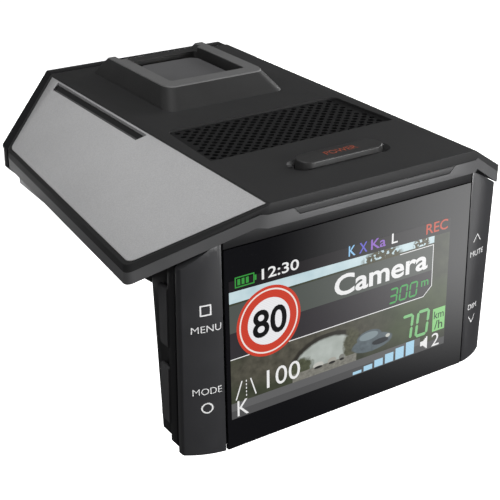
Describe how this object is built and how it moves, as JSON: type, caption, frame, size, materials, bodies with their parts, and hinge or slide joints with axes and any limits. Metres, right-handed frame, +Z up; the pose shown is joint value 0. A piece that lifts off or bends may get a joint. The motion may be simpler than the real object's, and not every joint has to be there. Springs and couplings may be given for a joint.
{
  "type": "dash camera radar detector",
  "caption": "Windscreen-mounted radar detector with dash camera: wedge-shaped head with speaker grille and bracket collar, and a display unit with rocker keys hanging below.",
  "frame": {"origin": "middle of the bracket seat's top face, in the socket of the roof collar", "axes": "+X to the driver's right, +Y away from the driver towards the windscreen, +Z up, out of the bracket seat"},
  "size_m": [0.1124, 0.1171, 0.0697],
  "materials": {
    "black_shell": "fine spark-eroded black",
    "grey_shell": "satin graphite grey",
    "satin_silver": "satin silver-grey metallic paint",
    "vent_black": "matt black",
    "seat_grey": "satin grey",
    "plated_steel": "nickel plated",
    "gold_brass": "gold plated",
    "piano_black": "gloss black",
    "dark_window": "dark infrared filter",
    "lens_glass": "coated glass",
    "circuit_board": "solder mask",
    "unit_black": "satin black",
    "screen_glass": "gloss",
    "lcd": "lit display",
    "switch_black": "moulded",
    "door_rubber": "satin rubber",
    "ribbon_amber": "polyimide film",
    "patch_ceramic": "sintered",
    "battery_wrap": "film wrap",
    "cast_metal": "die cast"
  },
  "bodies": {
    "case": {"upper_shell": "black_shell", "lower_shell": "grey_shell", "side_panel_left": "satin_silver", "side_panel_right": "satin_silver", "side_vent_left": "vent_black", "side_vent_right": "vent_black", "speaker_grille": "vent_black", "mount_collar": "black_shell", "bracket_seat": "seat_grey", "seat_magnets": "plated_steel", "contact_pins": "gold_brass", "front_bezel": "piano_black", "laser_window": "dark_window", "rear_trim": "grey_shell", "display_frame": "unit_black", "display_back": "unit_black", "display_screws": "plated_steel", "screen_glass": "screen_glass", "lcd_module": "lcd", "left_key_switches": "switch_black", "right_key_switches": "switch_black", "card_socket_upper": "plated_steel", "card_socket_lower": "plated_steel", "display_board": "circuit_board", "display_chip": "switch_black", "display_ribbon": "ribbon_amber", "power_inlet": "plated_steel", "main_board": "circuit_board", "processor_shield": "plated_steel", "gps_antenna": "patch_ceramic", "speaker": "switch_black", "backup_battery": "battery_wrap", "horn_antenna": "cast_metal", "radar_board": "circuit_board", "laser_sensor": "switch_black", "button_board": "circuit_board", "power_switch": "switch_black", "case_screws": "plated_steel"},
    "power_button": {"power_button": "black_shell"},
    "left_keys": {"left_keys": "unit_black"},
    "right_keys": {"right_keys": "unit_black"},
    "card_door_upper": {"card_door_upper": "door_rubber"},
    "card_door_lower": {"card_door_lower": "door_rubber"},
    "camera": {"camera_turret": "black_shell", "lens_ring": "plated_steel", "camera_lens": "lens_glass", "camera_sensor": "circuit_board"}
  },
  "joints": [
    {"name": "power_press", "type": "slide", "parent": "case", "child": "power_button", "axis": [0, 0, -1], "range_m": [0, 0.0006], "stiffness_N_per_m": 800},
    {"name": "left_keys_rock", "type": "hinge", "parent": "case", "child": "left_keys", "pos_m": [-0.0422, -0.0742, -0.0406], "axis": [1, 0, 0], "range_deg": [-1, 1], "stiffness_Nm_per_rad": 0.3},
    {"name": "right_keys_rock", "type": "hinge", "parent": "case", "child": "right_keys", "pos_m": [0.0422, -0.0742, -0.0406], "axis": [1, 0, 0], "range_deg": [-1, 1], "stiffness_Nm_per_rad": 0.3},
    {"name": "upper_door_swing", "type": "hinge", "parent": "case", "child": "card_door_upper", "pos_m": [-0.04675, -0.0687, -0.02545], "axis": [0, 1, 0], "range_deg": [0, 90]},
    {"name": "lower_door_swing", "type": "hinge", "parent": "case", "child": "card_door_lower", "pos_m": [-0.04675, -0.0687, -0.04615], "axis": [0, 1, 0], "range_deg": [0, 110]},
    {"name": "camera_tilt", "type": "hinge", "parent": "case", "child": "camera", "pos_m": [0, 0.0244, -0.0172], "axis": [1, 0, 0], "range_deg": [-10, 10]}
  ]
}
